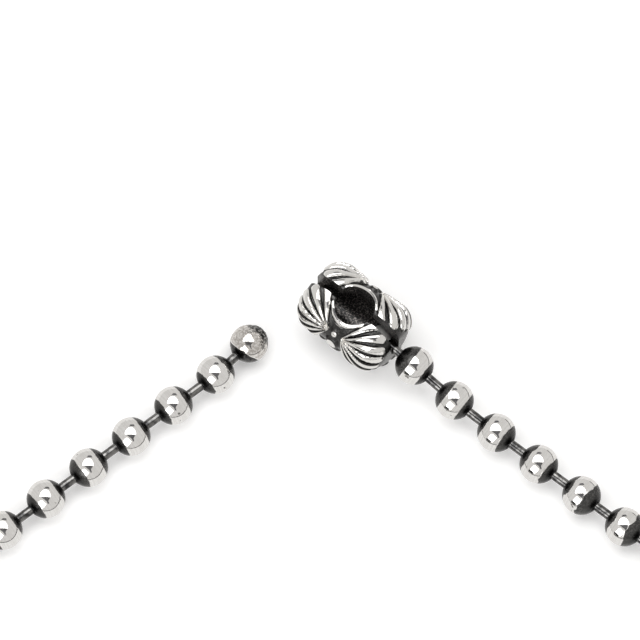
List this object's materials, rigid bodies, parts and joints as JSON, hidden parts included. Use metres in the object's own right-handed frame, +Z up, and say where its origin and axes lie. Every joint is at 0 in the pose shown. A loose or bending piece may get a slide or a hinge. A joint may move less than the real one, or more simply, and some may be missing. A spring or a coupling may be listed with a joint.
{
  "type": "ball chain necklace",
  "caption": "Chain of hollow silver balls lying as an open loop, with a cast barrel clasp of raised scallop fans whose keyhole and slot take the free end ball.",
  "frame": {"origin": "middle of the laid loop's box, on the table that it lies on", "axes": "+Z up from the table, +Y along the loop's length towards the clasp, +X to the right, where the clasp's strand runs"},
  "size_m": [0.162, 0.1846, 0.01],
  "materials": {
    "cast_silver": "satin",
    "ball_silver": "polished",
    "dark_silver": "satin"
  },
  "bodies": {
    "root": {"clasp": "cast_silver", "chain_beads": "ball_silver", "chain_links": "dark_silver", "end_bead": "ball_silver", "anchor_bead": "dark_silver"}
  },
  "joints": []
}
